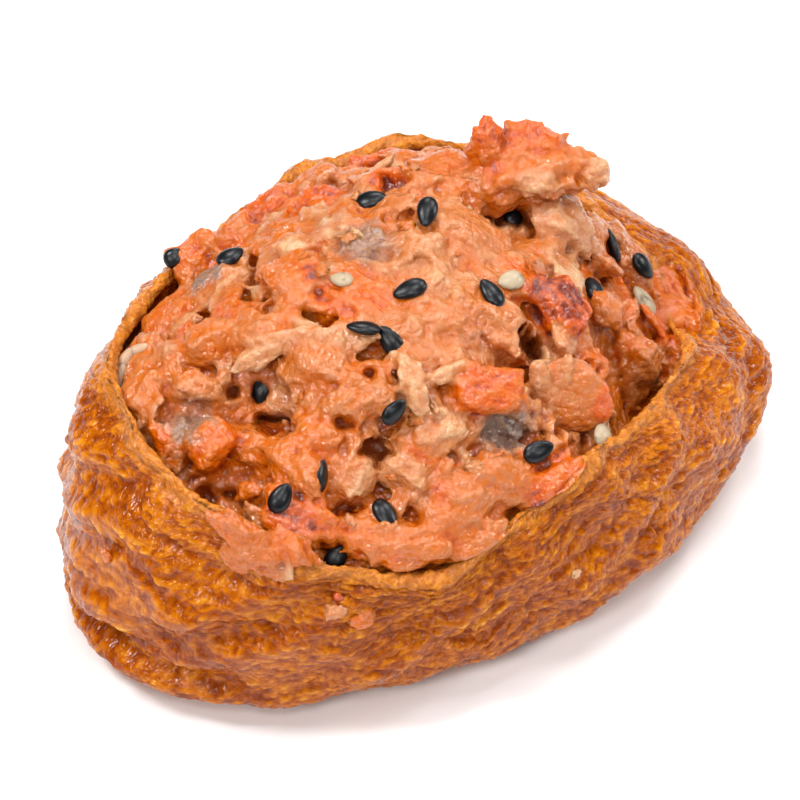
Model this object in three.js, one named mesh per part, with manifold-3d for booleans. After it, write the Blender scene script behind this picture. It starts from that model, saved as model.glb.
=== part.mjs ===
import * as THREE from 'three';
import { mergeVertices } from 'three/addons/utils/BufferGeometryUtils.js';
import Module from 'manifold-3d';

// Inari sushi: a pouch of simmered fried tofu, open on top, packed with rice and heaped
// with chopped salmon and sesame seeds. Millimetres, +Z up, the long side along X.
// Plan angles are in degrees, counterclockwise from +X. The origin is under the middle.

const wasm = await Module();
wasm.setup();

// Pouch
const halfLength = 36.8;
const halfWidth = 24.8;
const squareness = 2.14; // 2 is an ellipse, more is boxier
const baseShare = 0.74; // flat base, as a share of the widest ring
const bellyHeight = 8.2; // height of the widest ring
const rimHeight = 21.4;
const rimShare = 0.91; // mouth, as a share of the widest ring
const upperArc = 0.8; // how much of a quarter turn the upper wall bends through
const wallThickness = 2.0;
const pouchSegments = 80;
const baseSteps = 2;
const bellySteps = 8;
const upperSteps = 7;
const rimSteps = 3;
const innerSteps = 9;

// Where the pouch departs from an even oval: plan angle, spread in degrees, amount
const outlineSwells = [
  { at: -10, spread: 25, by: 0.044 },
  { at: 50, spread: 25, by: 0.047 },
  { at: 110, spread: 25, by: -0.106 },
  { at: 170, spread: 25, by: -0.021 },
  { at: 230, spread: 25, by: -0.023 },
  { at: 290, spread: 25, by: 0.075 },
  { at: 332, spread: 9, by: 0.03 },
];
const rimRises = [
  { at: 240, spread: 20, by: -4.8 },
  { at: -10, spread: 30, by: -7.3 },
  { at: 170, spread: 30, by: 4.6 },
  { at: 290, spread: 20, by: 0.7 },
];
const rimLeans = [
  { at: 240, spread: 20, by: 0.08 },
  { at: -10, spread: 30, by: -0.133 },
  { at: 170, spread: 30, by: -0.1 },
  { at: 80, spread: 40, by: 0.123 },
  { at: 290, spread: 20, by: -0.016 },
];

// Small waves around the plan: count, depth, start, and how far they turn per mm of height.
// The first list is the torn edge of the mouth, the second the wrinkles of the skin.
const rimWaves = [
  { count: 9, depth: 0.35, start: 1.0, slope: 0 },
  { count: 14, depth: 0.3, start: 2.0, slope: 0 },
];
const skinWaves = [
  { count: 7, depth: 0.34, start: 0, slope: 0.55 },
  { count: 11, depth: 0.34, start: 1.3, slope: -0.8 },
  { count: 16, depth: 0.34, start: 4.1, slope: 0.35 },
  { count: 19, depth: 0.27, start: 2.2, slope: -1.1 },
];

// The folded corner at one end: a lobe near the base under a deep crease
const foldAngle = 184;
const foldSpread = 17;
const foldLobe = { height: 2.2, spread: 1.9, out: 2.6 };
const foldCrease = { height: 6.4, spread: 1.5, out: -2.2 };

// Filling
const gap = 0.3; // between neighbouring pieces
const riceLevel = 9;
const riceMound = { x: -18.4, y: 11.9, z: 13.4, size: [10.0, 6.4, 15.4], turn: 57 }; // beside the salmon
const domeHeight = 32;
const pieceSink = 1.0; // how far the core lies under the heap's true surface
const fillingSegments = pouchSegments / 2;
const sideSteps = 3;
const heapSteps = 11;
const chordRoom = 0.25; // keeps the filling's flat sides off the rounder wall

// How far the edge of the salmon lies under the rim: plan angle, spread, extra millimetres
const edgeLevel = 1.2;
const edgeDrops = [
  { at: 318, spread: 16, by: 3.6 },
  { at: 80, spread: 35, by: 0.4 },
  { at: 146, spread: 9, by: 3.4 },
  { at: 194, spread: 12, by: 2.4 },
  { at: 236, spread: 18, by: -2.6 },
];

// Dips and rises of the heap, in plan: place, reach, depth
const heapShape = [
  { x: -18.6, y: -4.2, reach: 3.2, by: -4.6 },
  { x: 13.6, y: 0.2, reach: 2.6, by: -4.2 },
  { x: 5.8, y: -12.8, reach: 2.2, by: -3.4 },
  { x: -12.4, y: -13.9, reach: 2.2, by: -3.2 },
  { x: -16.8, y: -14.7, reach: 1.8, by: -2.4 },
  { x: -25.4, y: -7.2, reach: 2.6, by: -3.4 },
  { x: 19.2, y: -15.2, reach: 4.0, by: -4.2 },
  { x: 6.5, y: 6.5, reach: 6.0, by: 1.6 },
  { x: -8.0, y: 3.0, reach: 5.0, by: 0.9 },
  { x: 19.0, y: 3.6, reach: 4.4, by: 3.8 },
];

// Uneven surface of the chopped salmon: waves over the plan, in radians per mm, and their depth
const mashWaves = [
  { alongX: 0.9, alongY: 0.5, start: 0 },
  { alongX: -0.6, alongY: 0.75, start: 2 },
  { alongX: 1.3, alongY: -0.9, start: 4 },
];
const mashDepth = 0.45;

// Salmon pieces that stand out of the heap: plan place, size, turn in degrees, lift above the surface
const salmonPieces = [
  { x: -1.5, y: -15.0, size: [6.6, 4.6, 4.0], turn: -30, lift: 0.2 },
  { x: 1.5, y: -20.0, size: [6.8, 3.6, 3.4], turn: -8, lift: 0.2 },
  { x: -9.2, y: 2.4, size: [6.4, 6.0, 4.2], turn: 40, lift: 0.3 },
  { x: -23.6, y: -3.6, size: [5.6, 5.0, 4.4], turn: 10, lift: 0.5 },
  { x: -19.6, y: 8.2, size: [7.4, 5.6, 4.6], turn: 60, lift: 0.4 },
  { x: -21.0, y: 12.0, size: [5.4, 4.2, 3.6], turn: 100, lift: 0.6 },
  { x: 21.4, y: -9.2, size: [10.5, 8.2, 6.4], turn: -64, lift: 1.2 },
  { x: 24.6, y: -2.4, size: [8.6, 6.6, 5.4], turn: 70, lift: 1.0 },
  { x: -5.4, y: 8.8, size: [3.2, 2.6, 2.6], turn: 0, lift: 0.9 },
  { x: 1.4, y: -5.4, size: [8.6, 6.8, 4.4], turn: -30, lift: 0.2 },
  { x: 9.0, y: 8.6, size: [9.4, 6.0, 5.0], turn: 25, lift: 0.4 },
  { x: -1.0, y: 12.2, size: [8.4, 5.0, 4.6], turn: 12, lift: 0.3 },
  { x: -12.4, y: 7.2, size: [6.4, 4.6, 3.8], turn: 50, lift: 0.3 },
  { x: -26.4, y: 1.6, size: [6.2, 4.6, 4.4], turn: 82, lift: 0.2 },
  { x: 9.6, y: -11.6, size: [5.2, 3.8, 4.2], turn: -50, lift: 0.4 },
  { x: -7.4, y: -15.8, size: [6.6, 4.4, 3.8], turn: -20, lift: 0.1 },
  { x: -19.0, y: -10.6, size: [7.6, 5.4, 4.0], turn: -35, lift: 0.3 },
  { x: -13.2, y: -9.4, size: [6.4, 5.0, 3.8], turn: 30, lift: 0.2 },
  { x: 16.6, y: -5.2, size: [6.0, 4.6, 3.8], turn: 60, lift: 0.2 },
  { x: 24.2, y: 7.6, size: [7.4, 5.4, 4.6], turn: -60, lift: 0.2 },
  { x: 15.2, y: 11.6, size: [8.0, 5.6, 4.6], turn: -20, lift: 0.2 },
  { x: 21.0, y: 13.2, size: [6.4, 4.6, 4.2], turn: 130, lift: 0.0 },
  { x: 7.2, y: 15.6, size: [7.6, 5.0, 4.2], turn: 8, lift: 0.1 },
  { x: 28.6, y: 2.8, size: [6.4, 4.8, 4.0], turn: 96, lift: 0.0 },
  { x: 26.2, y: -10.8, size: [5.8, 4.2, 3.6], turn: 50, lift: 0.1 },
  { x: -30.0, y: -2.6, size: [5.4, 3.8, 3.6], turn: 84, lift: 0.0 },
  { x: -11.8, y: 14.2, size: [6.8, 4.4, 3.8], turn: 24, lift: 0.2 },
];

// How far the dents of a piece go in, as shares of its radius
const broadDent = 0.16;
const fineDent = 0.1;

// Salmon spilling over the torn stretch of the rim
const spillPieces = [
  { x: -25.4, y: -11.2, size: [5.4, 4.0, 3.4], turn: -35, lift: 0.6 },
  { x: -21.8, y: -14.8, size: [6.4, 4.2, 3.4], turn: -38, lift: 0.8 },
  { x: -17.0, y: -18.0, size: [6.6, 4.6, 3.6], turn: -26, lift: 1.0 },
  { x: -11.6, y: -20.4, size: [6.8, 4.2, 3.6], turn: -12, lift: 1.0 },
];

// Smaller pieces between them, spread by rings
const scatterRings = [
  { share: 0.34, count: 5, size: 5.0 },
  { share: 0.8, count: 11, size: 5.0 },
];
const ringTwist = 0.37; // each ring starts this share of a step further round

// A ragged lump that overhangs the back edge, and a pale flake that stands at the front
const lumpPieces = [
  { x: 18.3, y: 3.2, z: 31.1, size: [11.4, 6.8, 5.6], turn: -22, lean: 8 },
  { x: 16.0, y: 5.2, z: 33.5, size: [5.0, 3.8, 6.0], turn: 20, lean: -24 },
  { x: 19.9, y: 4.4, z: 32.9, size: [6.0, 4.6, 4.4], turn: -40, lean: 10 },
  { x: 22.2, y: 0.3, z: 31.0, size: [5.6, 4.4, 4.4], turn: -30, lean: -18 },
];
const flakePiece = { x: 7.0, y: -17.2, z: 24.4, size: [7.2, 2.6, 7.4], turn: -34, lean: -30 };

// Sesame seeds: plan place, turn of the long axis in degrees
const seedSize = [3.1, 1.9, 1.0];
const seedTaper = 0.18;
const seedRaise = 0.15;
const seeds = [
  { x: 3.7, y: 8.3, turn: -38 },
  { x: 6.5, y: 3.6, turn: 52 },
  { x: -8.0, y: 14.9, turn: 10 },
  { x: -5.4, y: 0.7, turn: -50 },
  { x: -1.4, y: -3.8, turn: -14 },
  { x: 5.2, y: -7.5, turn: 84 },
  { x: 8.1, y: -7.1, turn: -14 },
  { x: -7.3, y: -4.6, turn: -38 },
  { x: -5.9, y: -7.1, turn: 90 },
  { x: -9.4, y: -11.7, turn: 16 },
  { x: -21.5, y: -11.2, turn: 20 },
  { x: -17.9, y: -12.2, turn: 44 },
  { x: -14.3, y: -17.1, turn: 78 },
  { x: -18.6, y: -16.4, turn: 20 },
  { x: 1.4, y: -19.6, turn: -10 },
  { x: 17.6, y: -8.3, turn: 60 },
  { x: 22.8, y: -6.4, turn: 84 },
  { x: 25.4, y: -3.4, turn: -70 },
  { x: 22.8, y: 2.2, turn: 62 },
];

// Rice grains that show beside the salmon, on top of the mound of rice
const grainSize = [5.2, 2.3, 2.0];
const grainTaper = 0.12;
const grains = [
  { x: -20.4, y: 12.4, z: 20.4, turn: 66 },
  { x: -17.6, y: 14.2, z: 20.2, turn: 30 },
  { x: -18.6, y: 12.0, z: 21.2, turn: 84 },
];

// The whole is moved by this much so that the origin lies under the middle of its box
const centreShift = { x: -1.36, y: 0.71 };

const radians = THREE.MathUtils.degToRad;

function bell(distance, spread) {
  return Math.exp(-0.5 * (distance / spread) ** 2);
}

// Sum of the local departures around the plan, at an angle in radians
function aroundSum(places, angle) {
  let total = 0;
  for (const { at, spread, by } of places) {
    const turned = THREE.MathUtils.euclideanModulo(THREE.MathUtils.radToDeg(angle) - at + 180, 360) - 180;
    total += by * bell(turned, spread);
  }
  return total;
}

function beltRadius(angle) {
  const across = Math.abs(Math.cos(angle) / halfLength) ** squareness;
  const along = Math.abs(Math.sin(angle) / halfWidth) ** squareness;
  return (across + along) ** (-1 / squareness) * (1 + aroundSum(outlineSwells, angle));
}

function waveSum(waves, angle, height) {
  let total = 0;
  for (const { count, depth, start, slope } of waves) {
    total += depth * Math.sin(count * angle + slope * height + start);
  }
  return total;
}

const rimTop = (angle) => rimHeight + aroundSum(rimRises, angle) + waveSum(rimWaves, angle, 0);
const mouthShare = (angle) => rimShare + aroundSum(rimLeans, angle);

// Wrinkles and the folded corner: how far the skin stands out at an angle and a height
function skinRelief(angle, height) {
  const folded = bell(THREE.MathUtils.radToDeg(angle) - foldAngle, foldSpread);
  const lobe = foldLobe.out * bell(height - foldLobe.height, foldLobe.spread);
  const crease = foldCrease.out * bell(height - foldCrease.height, foldCrease.spread);
  return waveSum(skinWaves, angle, height) + folded * (lobe + crease);
}

// A point of the pouch's wall. Rise runs 0 to 1 over the base, 1 to 2 up to the belly and
// 2 to 3 up to the rim; depth is how far the point lies inside the outer skin.
function wallPoint(angle, rise, depth) {
  const belt = beltRadius(angle);
  const top = rimTop(angle);
  const lower = THREE.MathUtils.clamp(rise - 1, 0, 1) * Math.PI / 2;
  const arc = upperArc * Math.PI / 2;
  const upper = THREE.MathUtils.clamp(rise - 2, 0, 1) * arc;
  let radius = belt * baseShare * Math.min(rise, 1);
  let height = 0;
  if (rise > 1) {
    radius = belt * (baseShare + (1 - baseShare) * Math.sin(lower));
    height = bellyHeight * (1 - Math.cos(lower));
  }
  if (rise > 2) {
    const inward = (1 - Math.cos(upper)) / (1 - Math.cos(arc));
    radius = belt * (1 - (1 - mouthShare(angle)) * inward);
    height = bellyHeight + (top - bellyHeight) * Math.sin(upper) / Math.sin(arc);
  }
  radius *= 1 - depth / belt;
  height = depth + height * (top - depth) / top;
  return { radius, height };
}

function merged(geometry) {
  geometry.deleteAttribute('normal');
  geometry.deleteAttribute('uv');
  return mergeVertices(geometry, 1e-4);
}

// A closed form turned about Z: steps points from the lower pole to the upper pole, each
// placed by a function of the plan angle and its share of the way.
function turnedForm(segments, steps, place) {
  const profile = [];
  for (let step = 0; step <= steps; step++) {
    profile.push(new THREE.Vector2(Math.sin(Math.PI * step / steps), step));
  }
  const geometry = new THREE.LatheGeometry(profile, segments);
  const uv = geometry.getAttribute('uv');
  const position = geometry.getAttribute('position');
  for (let i = 0; i < position.count; i++) {
    const angle = (uv.getX(i) % 1) * 2 * Math.PI;
    const { radius, height } = place(angle, uv.getY(i));
    position.setXYZ(i, radius * Math.cos(angle), radius * Math.sin(angle), height);
  }
  return merged(geometry);
}

function solid(geometry) {
  const vertProperties = new Float32Array(geometry.getAttribute('position').array);
  const triVerts = new Uint32Array(geometry.index.array);
  return new wasm.Manifold(new wasm.Mesh({ numProp: 3, vertProperties, triVerts }));
}

function geometryOf(body) {
  const { vertProperties, triVerts } = body.getMesh();
  const geometry = new THREE.BufferGeometry();
  geometry.setAttribute('position', new THREE.BufferAttribute(vertProperties, 3));
  geometry.setIndex(new THREE.BufferAttribute(triVerts, 1));
  return geometry;
}

// The largest of the bodies that a cut leaves
function largest(body) {
  const parts = body.decompose();
  parts.sort((a, b) => b.volume() - a.volume());
  return parts[0];
}

// The pouch's rings, from under the middle out, up, over the rim and down inside
function pouchProfile() {
  const stops = [];
  for (let i = 0; i <= baseSteps; i++) stops.push({ rise: i / baseSteps, round: 0 });
  for (let i = 1; i <= bellySteps; i++) stops.push({ rise: 1 + i / bellySteps, round: 0 });
  for (let i = 1; i <= upperSteps; i++) stops.push({ rise: 2 + i / upperSteps, round: 0 });
  for (let i = 1; i < rimSteps; i++) stops.push({ rise: 3, round: i / rimSteps });
  for (let i = 0; i <= innerSteps; i++) stops.push({ rise: 3 - 3 * i / innerSteps, round: 1 });
  return stops;
}

// The pouch. Grown makes it fatter on every side, for cutting its neighbours.
function pouchForm(grown) {
  const stops = pouchProfile();
  return turnedForm(pouchSegments, stops.length - 1, (angle, share) => {
    const { rise, round } = stops[Math.round(share * (stops.length - 1))];
    const depth = (wallThickness / 2) * (1 - Math.cos(Math.PI * round)) + grown * (2 * round - 1);
    const { radius, height } = wallPoint(angle, rise, depth);
    const crown = (wallThickness / 2 + grown) * Math.sin(Math.PI * round);
    const fade = THREE.MathUtils.clamp(rise - 1, 0, 1) * (1 - round);
    return { radius: radius + fade * skinRelief(angle, height), height: height + crown };
  });
}

// The hollow of the pouch, shrunk by the gap, from the floor up to a level
function hollowEdge(angle, height) {
  let low = 0;
  let high = 3;
  for (let halving = 0; halving < 24; halving++) {
    const middle = (low + high) / 2;
    if (wallPoint(angle, middle, wallThickness + gap).height < height) low = middle;
    else high = middle;
  }
  return wallPoint(angle, (low + high) / 2, wallThickness + gap).radius - chordRoom;
}

// An uneven lump: a ball pulled out along three axes, with broad and fine dents
function lumpForm({ x, y, z, size, turn, lean = 0 }, detail, grown = 0) {
  const geometry = merged(new THREE.IcosahedronGeometry(1, detail));
  const position = geometry.getAttribute('position');
  const point = new THREE.Vector3();
  for (let i = 0; i < position.count; i++) {
    point.fromBufferAttribute(position, i);
    const broad = broadDent * Math.sin(3.1 * point.x + x) * Math.sin(2.7 * point.y + y);
    const fine = fineDent * Math.sin(5.3 * point.z + 2 * x + y);
    point.multiplyScalar(1 + broad + fine);
    point.set(
      point.x * (size[0] / 2 + grown),
      point.y * (size[1] / 2 + grown),
      point.z * (size[2] / 2 + grown),
    );
    position.setXYZ(i, point.x, point.y, point.z);
  }
  geometry.rotateX(radians(lean));
  geometry.rotateZ(radians(turn));
  geometry.translate(x, y, z);
  return geometry;
}

// A seed or grain: a ball pulled out, one end narrower by the taper
function seedForm(size, taper) {
  const geometry = merged(new THREE.SphereGeometry(1, 6, 4));
  const position = geometry.getAttribute('position');
  for (let i = 0; i < position.count; i++) {
    const along = position.getX(i);
    const narrow = 1 - taper * along;
    position.setXYZ(
      i,
      along * size[0] / 2,
      position.getY(i) * narrow * size[1] / 2,
      position.getZ(i) * narrow * size[2] / 2,
    );
  }
  return geometry;
}

// Height of the heap over the plan
const heapEdge = (angle) => wallPoint(angle, 3, wallThickness + gap).radius;
const heapEdgeTop = (angle) => rimTop(angle) - edgeLevel - aroundSum(edgeDrops, angle);

function heapTop(x, y) {
  const angle = Math.atan2(y, x);
  const share = Math.min(Math.hypot(x, y) / heapEdge(angle), 1);
  const edge = heapEdgeTop(angle);
  let height = edge + (domeHeight - edge) * (1 - share ** 2.2) ** 0.8;
  for (const part of heapShape) {
    height += part.by * bell(Math.hypot(x - part.x, y - part.y), part.reach);
  }
  for (const { alongX, alongY, start } of mashWaves) {
    height += mashDepth * Math.sin(alongX * x + alongY * y + start);
  }
  return height;
}

// A filling that fits the hollow: a flat floor, a side up the wall and a shaped top
function fillingForm(floor, topSteps, edgeTop, topAt) {
  const steps = 1 + sideSteps + topSteps;
  return turnedForm(fillingSegments, steps, (angle, share) => {
    const step = Math.round(share * steps);
    if (step === 0) return { radius: 0, height: floor };
    if (step <= 1 + sideSteps) {
      const height = floor + (edgeTop(angle) - floor) * (step - 1) / sideSteps;
      return { radius: hollowEdge(angle, height), height };
    }
    const left = (steps - step) / topSteps;
    const radius = hollowEdge(angle, edgeTop(angle)) * Math.sin(left * Math.PI / 2);
    return { radius, height: topAt(radius * Math.cos(angle), radius * Math.sin(angle)) };
  });
}

// Rice: a flat bed, a mound that rises beside the salmon, and the grains that show on it
function grainForm({ x, y, z, turn }, grown) {
  const grain = seedForm(grainSize.map((side) => side + 2 * grown), grainTaper);
  grain.rotateZ(radians(turn));
  grain.translate(x, y, z);
  return grain;
}

let mound = solid(lumpForm(riceMound, 1));
for (const grain of grains) mound = mound.add(solid(grainForm(grain, 0)));
mound = mound.subtract(solid(pouchForm(gap)));
const bed = solid(fillingForm(wallThickness + gap, 1, () => riceLevel, () => riceLevel));
const rice = largest(bed.add(mound));

// Salmon heap: the core with its pieces and seeds
const heapFloor = riceLevel + gap;
let heap = solid(fillingForm(heapFloor, heapSteps, (angle) => heapEdgeTop(angle) - pieceSink,
  (x, y) => heapTop(x, y) - pieceSink));

function addPiece(piece, detail) {
  const z = heapTop(piece.x, piece.y) - piece.size[2] / 2 + piece.lift;
  heap = heap.add(solid(lumpForm({ ...piece, z }, detail)));
}

for (const piece of salmonPieces) addPiece(piece, 1);
for (const piece of spillPieces) addPiece(piece, 1);
scatterRings.forEach(({ share, count, size }, ring) => {
  for (let i = 0; i < count; i++) {
    const angle = 2 * Math.PI * (i + ringTwist * ring) / count;
    const radius = share * heapEdge(angle);
    const long = size * (1 + 0.2 * Math.sin(5 * i + ring));
    addPiece({
      x: radius * Math.cos(angle),
      y: radius * Math.sin(angle),
      size: [long, 0.76 * size, 0.7 * size],
      turn: 137 * i + 50 * ring,
      lift: 0.1 + 0.25 * Math.sin(3 * i + 2 * ring),
    }, 0);
  }
});

// Seeds lie on the surface below their place, leaning with it
function layOn(surface, form, x, y, turn, raise) {
  const caster = new THREE.Raycaster(new THREE.Vector3(x, y, 100), new THREE.Vector3(0, 0, -1));
  const [hit] = caster.intersectObject(new THREE.Mesh(surface));
  const upright = new THREE.Quaternion().setFromUnitVectors(new THREE.Vector3(0, 0, 1), hit.face.normal);
  form.rotateZ(radians(turn));
  form.applyQuaternion(upright);
  form.translate(hit.point.x, hit.point.y, hit.point.z);
  form.translate(hit.face.normal.x * raise, hit.face.normal.y * raise, hit.face.normal.z * raise);
  return form;
}

const lump = lumpPieces.map((piece) => solid(lumpForm(piece, 1))).reduce((a, b) => a.add(b));
const flake = solid(lumpForm(flakePiece, 1));

// The heap is cut clear of its neighbours
heap = heap.subtract(solid(pouchForm(gap)));
for (const grain of grains) heap = heap.subtract(solid(grainForm(grain, gap)));
heap = heap.subtract(solid(lumpForm(riceMound, 1, gap)));
for (const piece of [...lumpPieces, flakePiece]) {
  heap = heap.subtract(solid(lumpForm(piece, 1, gap)));
}
const underHeap = new THREE.CylinderGeometry(2 * halfLength, 2 * halfLength, heapFloor, 12);
underHeap.rotateX(Math.PI / 2);
underHeap.translate(0, 0, heapFloor / 2);
heap = heap.subtract(solid(merged(underHeap)));
heap = largest(heap);

const bareHeap = geometryOf(heap);
for (const { x, y, turn } of seeds) {
  heap = heap.add(solid(layOn(bareHeap, seedForm(seedSize, seedTaper), x, y, turn, seedRaise)));
}
heap = largest(heap);

// Scene graph
function finish(color, roughness) {
  return new THREE.MeshStandardMaterial({ color, roughness, metalness: 0, flatShading: true });
}

const tofuSkin = finish(0xb9702c, 0.35);
const salmonMeat = finish(0xe0925f, 0.35);
const paleSalmon = finish(0xe8ab85, 0.35);
const cookedRice = finish(0xeee6d8, 0.45);

const inari = new THREE.Group();

function addNode(name, geometry, material) {
  const mesh = new THREE.Mesh(geometry, material);
  mesh.name = name;
  inari.add(mesh);
}

addNode('tofu_pouch', pouchForm(0), tofuSkin);
addNode('rice_bed', geometryOf(rice), cookedRice);
addNode('salmon_heap', geometryOf(heap), salmonMeat);
addNode('salmon_top_lump', geometryOf(lump), salmonMeat);
addNode('salmon_flake', geometryOf(flake), paleSalmon);

inari.position.set(centreShift.x, centreShift.y, 0);

export default inari;
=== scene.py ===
import math
import random
from functools import lru_cache

import bmesh
import bpy
from mathutils import Matrix, Vector, bvhtree, kdtree, noise


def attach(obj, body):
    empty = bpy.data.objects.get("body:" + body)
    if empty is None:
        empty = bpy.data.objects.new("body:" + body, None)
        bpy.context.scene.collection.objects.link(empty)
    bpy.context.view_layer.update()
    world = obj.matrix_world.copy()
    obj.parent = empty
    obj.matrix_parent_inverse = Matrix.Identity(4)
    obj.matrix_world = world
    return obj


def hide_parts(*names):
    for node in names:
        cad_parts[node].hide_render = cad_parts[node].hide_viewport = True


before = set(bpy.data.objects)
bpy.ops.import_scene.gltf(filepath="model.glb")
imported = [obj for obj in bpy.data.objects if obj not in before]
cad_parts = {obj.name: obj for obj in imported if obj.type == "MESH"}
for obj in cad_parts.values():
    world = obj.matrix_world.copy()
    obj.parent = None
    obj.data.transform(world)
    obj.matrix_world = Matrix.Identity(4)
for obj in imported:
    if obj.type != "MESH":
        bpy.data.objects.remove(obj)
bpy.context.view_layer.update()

# Inari sushi: a tofu pouch packed with rice and heaped with chopped salmon and sesame.
# Shapes are worked out in millimetres round the pouch's own middle and moved into the
# frame, in metres, when their mesh is made.
metresPerMm = 0.001
centreShift = Vector((-1.36, 0.71, 0.0))
random.seed(7)


def bell(distance, spread):
    return math.exp(-0.5 * (distance / spread) ** 2)


def clamp(value, low, high):
    return max(low, min(high, value))


def smooth(value):
    value = clamp(value, 0.0, 1.0)
    return value * value * (3 - 2 * value)


# A line of numbered points spun round the z axis; each piece then sets the points' places
def spinLine(bm, count, steps):
    line = [bm.verts.new((1.0, 0.0, float(i))) for i in range(count)]
    edges = [bm.edges.new(pair) for pair in zip(line, line[1:])]
    bmesh.ops.spin(bm, geom=line + edges, cent=(0, 0, 0), axis=(0, 0, 1), dvec=(0, 0, 0),
                   angle=2 * math.pi, steps=steps, use_merge=True, use_duplicate=False)


def turned3(degrees, axis):
    return Matrix.Rotation(math.radians(degrees), 3, axis)


def around(angle, radius, height):
    return Vector((radius * math.cos(angle), radius * math.sin(angle), height))


def closeUp(bm):
    bmesh.ops.remove_doubles(bm, verts=bm.verts, dist=1e-5)
    bmesh.ops.recalc_face_normals(bm, faces=bm.faces)


def placed(name, data):
    made = bpy.data.objects.new(name, data)
    bpy.context.scene.collection.objects.link(made)
    return made


def meshOf(name, bm):
    mesh = bpy.data.meshes.new(name)
    bm.to_mesh(mesh)
    bm.free()
    return mesh


# A finished piece of the part: moved into the frame, with its finish, in place of its solids
def addPiece(name, bm, material, slotName, *nodes):
    bmesh.ops.translate(bm, verts=bm.verts, vec=centreShift)
    bmesh.ops.scale(bm, verts=bm.verts, vec=Vector((metresPerMm,) * 3))
    mesh = meshOf(name, bm)
    mesh.materials.append(material)
    mesh.shade_smooth()
    piece = placed(name, mesh)
    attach(piece, "root")
    if nodes:
        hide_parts(*nodes)
    print(f"{name}: {sum(len(p.vertices) - 2 for p in mesh.polygons)} triangles")


# Camera: the photo's angle, from the fitted outline of the pouch
view = {
    "azimuth": -37.7,
    "elevation": 46.2,
    "distance": 420.0,  # mm
    "focal": 4419.0,  # pixels of an 800 pixel picture
    "aim": Vector((0.38, -0.29, 14.08)),
    "picture": 800,
    "sensor": 36.0,
}


def aimCamera():
    azimuth = math.radians(view["azimuth"])
    elevation = math.radians(view["elevation"])
    flat = math.cos(elevation)
    back = Vector((math.sin(azimuth) * flat, -math.cos(azimuth) * flat, math.sin(elevation)))
    right = Vector((math.cos(azimuth), math.sin(azimuth), 0.0))
    up = back.cross(right)
    data = bpy.data.cameras.new("camera")
    data.sensor_width = view["sensor"]
    data.lens = view["focal"] / view["picture"] * view["sensor"]
    data.clip_start = 0.01
    data.clip_end = 10.0
    camera = placed("camera", data)
    camera.rotation_mode = "QUATERNION"
    camera.rotation_quaternion = (-back).to_track_quat("-Z", "Y")
    camera.location = (view["aim"] + view["distance"] * back + centreShift) * metresPerMm
    bpy.context.scene.camera = camera
    return back, right, up


backward, rightward, upward = aimCamera()
eye = view["aim"] + view["distance"] * backward


# From the camera through a pixel of the photo to a surface: the point and its normal
def castThrough(pixel, tree):
    half = view["picture"] / 2
    across = (pixel[0] - half) / view["focal"]
    down = (pixel[1] - half) / view["focal"]
    direction = (-backward + rightward * across - upward * down).normalized()
    point, normal, _, _ = tree.ray_cast(eye, direction)
    return point, normal


# The same, walking in towards the picture's middle where the pixel misses
def castNear(pixel, tree):
    middle = view["picture"] / 2
    for step in range(30):
        inward = 1 - 0.01 * step
        nearer = [middle + (value - middle) * inward for value in pixel]
        point, normal = castThrough(nearer, tree)
        if point:
            return point, normal


# Shader building
def colour(red, green, blue):
    linear = []
    for channel in (red, green, blue):
        share = channel / 255
        linear.append(share / 12.92 if share <= 0.04045 else ((share + 0.055) / 1.055) ** 2.4)
    return (*linear, 1.0)


class Wire:
    def __init__(self, finish, socket):
        self.finish = finish
        self.socket = socket

    def maths(self, operation, first, second):
        return self.finish.node("ShaderNodeMath", {"operation": operation}, {0: first, 1: second})

    def __add__(self, other):
        return self.maths("ADD", self, other)

    __radd__ = __add__

    def __sub__(self, other):
        return self.maths("SUBTRACT", self, other)

    def __mul__(self, other):
        return self.maths("MULTIPLY", self, other)

    __rmul__ = __mul__


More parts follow.
